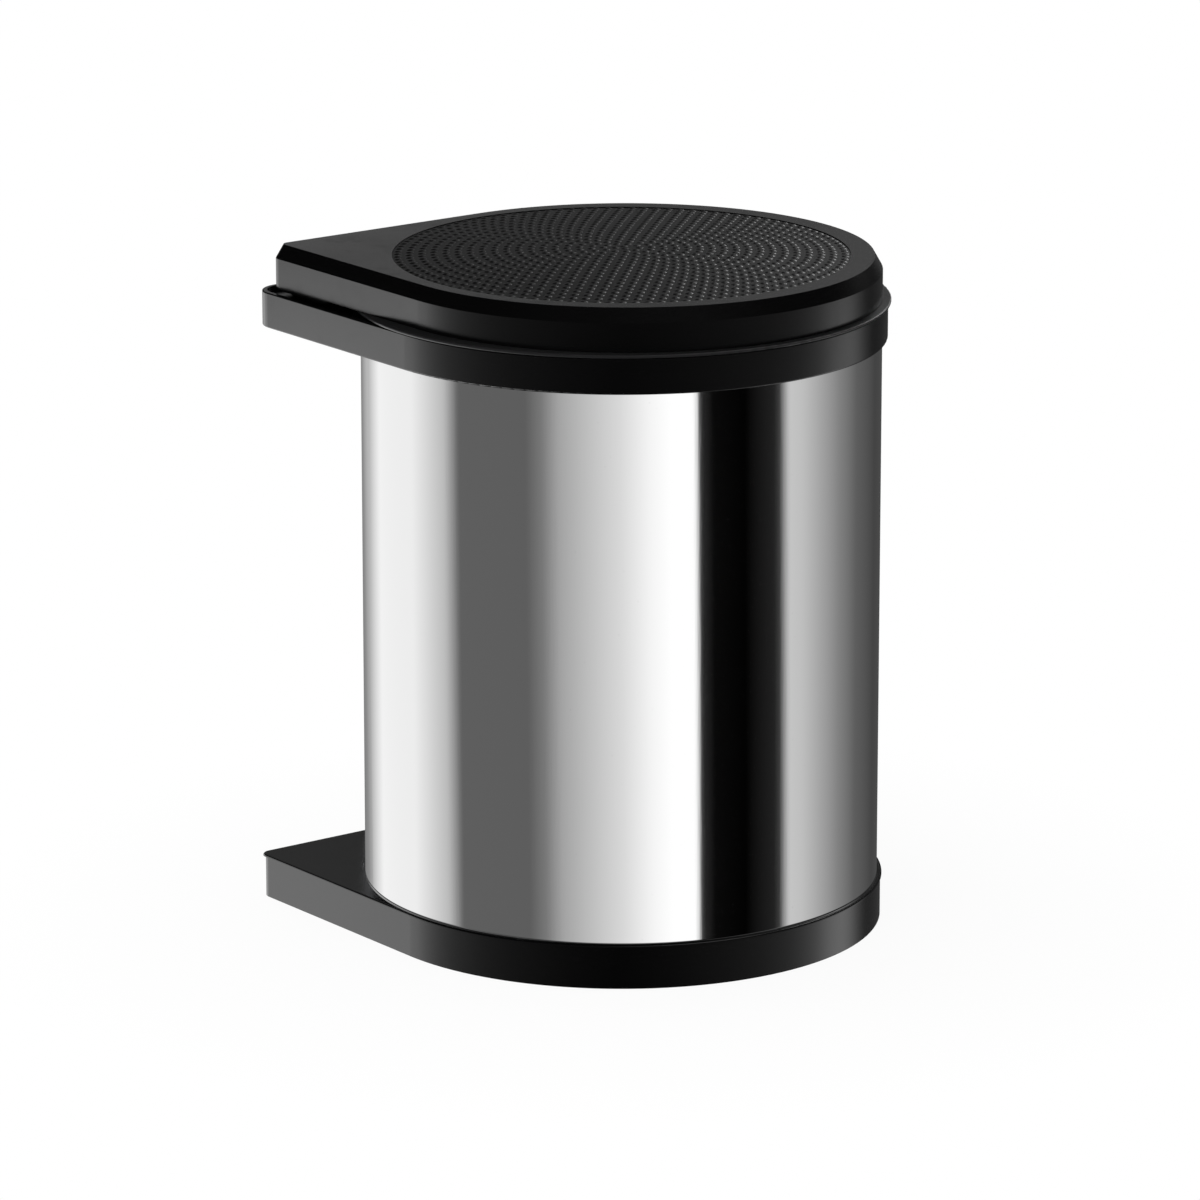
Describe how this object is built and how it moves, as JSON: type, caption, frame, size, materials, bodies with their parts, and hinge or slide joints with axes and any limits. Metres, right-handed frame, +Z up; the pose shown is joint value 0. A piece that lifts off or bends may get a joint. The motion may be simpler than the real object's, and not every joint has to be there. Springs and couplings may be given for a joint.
{
  "type": "swing-out cabinet waste bin",
  "caption": "Round built-in cabinet waste bin with a polished steel jacket, square pivot corner, lift-up teardrop lid, inner bucket and a wall rail to screw on.",
  "frame": {"origin": "on the cabinet wall, at the centre of the rail's four screw holes", "axes": "+X away from the wall, -Y out through the cabinet's door, +Z up"},
  "size_m": [0.2792, 0.2718, 0.3486],
  "materials": {
    "black_plastic": "satin black moulded plastic",
    "lid_plastic": "satin black moulded plastic with a field of small bumps",
    "bucket_plastic": "matt black moulded plastic",
    "polished_steel": "bright polished stainless sheet",
    "zinc_steel": "bright zinc-plated steel",
    "white_acetal": "smooth white acetal"
  },
  "bodies": {
    "root": {"wall_rail": "zinc_steel", "upper_arm": "zinc_steel", "lower_arm": "zinc_steel", "arm_rivets": "zinc_steel", "upper_pivot_tube": "zinc_steel", "lower_pivot_pin": "zinc_steel"},
    "bin": {"rim_frame": "black_plastic", "steel_jacket": "polished_steel", "base_tray": "black_plastic", "upper_bush": "white_acetal", "lower_bush": "white_acetal", "thrust_washer": "white_acetal", "lift_ramp": "white_acetal", "ramp_screws": "zinc_steel", "jacket_screws": "zinc_steel", "bucket": "bucket_plastic", "bucket_handle": "zinc_steel", "handle_grip": "black_plastic"},
    "lid": {"lid_cover": "lid_plastic", "lid_stem": "zinc_steel", "lift_foot": "white_acetal", "lid_screws": "zinc_steel"}
  },
  "joints": [
    {"name": "bin_swing", "type": "hinge", "parent": "root", "child": "bin", "pos_m": [0.035, -0.0833, 0], "axis": [0, 0, -1], "range_deg": [0, 90]},
    {"name": "lid_lift", "type": "slide", "parent": "root", "child": "lid", "axis": [0, 0, 1], "range_m": [0, 0.0101]}
  ],
  "couplings": [
    {"joint": "lid_lift", "follows": "bin_swing", "m_per_rad": 0.0063662}
  ]
}
